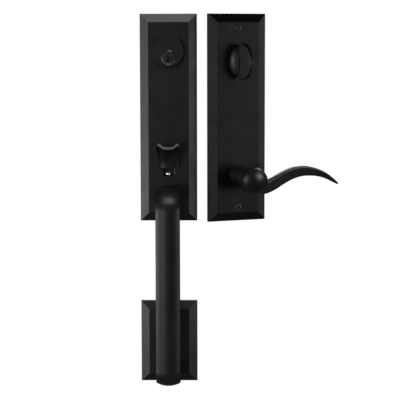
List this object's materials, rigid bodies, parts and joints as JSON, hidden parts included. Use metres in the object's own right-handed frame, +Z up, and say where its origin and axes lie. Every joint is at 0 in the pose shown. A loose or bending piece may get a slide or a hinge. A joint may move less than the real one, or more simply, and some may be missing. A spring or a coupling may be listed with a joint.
{
  "type": "entry door handleset",
  "caption": "Entry door handleset: outside plates with lock cylinder, thumbpiece and pull grip, and a long inside plate with thumb turn and waved lever, in satin black.",
  "frame": {"origin": "latch centre, on the back plane of the upper outside plate, which lies on the door's outside face", "axes": "+X to the right seen from outside the door, -Y out of the door's outside face towards the person, +Z up"},
  "size_m": [0.2446, 0.1425, 0.4558],
  "materials": {
    "satin_black": "satin black, fine even texture",
    "brass": "plain turned brass",
    "spring_steel": "drawn spring steel",
    "zinc_steel": "bright zinc plate",
    "black_steel": "black oxide",
    "nylon": "natural nylon"
  },
  "bodies": {
    "plates": {"exterior_plate": "satin_black", "cylinder_body": "satin_black", "cylinder_ring": "spring_steel", "thumb_bracket": "zinc_steel", "thumb_pivot_pin": "zinc_steel", "thumb_spring": "spring_steel", "bracket_screws": "zinc_steel", "slot_rivet": "brass", "grip": "satin_black", "grip_screws": "zinc_steel", "lower_plate": "satin_black", "lower_post": "zinc_steel", "interior_plate": "satin_black", "plate_screws": "satin_black", "turn_bushing": "nylon", "turn_washer": "spring_steel", "lever_bushing": "nylon", "spring_cage": "zinc_steel", "cage_cover": "zinc_steel", "cage_screws": "zinc_steel", "lever_spring": "spring_steel"},
    "plug": {"cylinder_plug": "satin_black", "plug_ring": "spring_steel", "tailpiece": "zinc_steel", "tailpiece_pin": "zinc_steel"},
    "thumbpiece": {"thumbpiece": "satin_black"},
    "turn": {"thumb_turn": "satin_black", "turn_ring": "spring_steel"},
    "lever": {"lever": "satin_black", "lever_set_screw": "black_steel", "lever_spindle": "zinc_steel", "lever_ring": "spring_steel", "lever_cam": "zinc_steel"}
  },
  "joints": [
    {"name": "thumb_press", "type": "hinge", "parent": "plates", "child": "thumbpiece", "pos_m": [0, 0.001, 0], "axis": [1, 0, 0], "range_deg": [0, 14], "stiffness_Nm_per_rad": 0.4, "springref_deg": -14.32, "deforming": ["thumb_spring"]},
    {"name": "key_turn", "type": "hinge", "parent": "plates", "child": "plug", "pos_m": [0, 0, 0.1323], "axis": [0, -1, 0], "range_deg": [-90, 90]},
    {"name": "turn_rotate", "type": "hinge", "parent": "plates", "child": "turn", "pos_m": [0.0823, 0, 0.1275], "axis": [0.3746, -0.9272, 0], "range_deg": [-90, 90]},
    {"name": "lever_turn", "type": "hinge", "parent": "plates", "child": "lever", "pos_m": [0.0823, 0, -0.0122], "axis": [0.3746, -0.9272, 0], "range_deg": [-45, 45], "stiffness_Nm_per_rad": 2.5, "springref_deg": 2.86, "deforming": ["lever_spring"]}
  ]
}
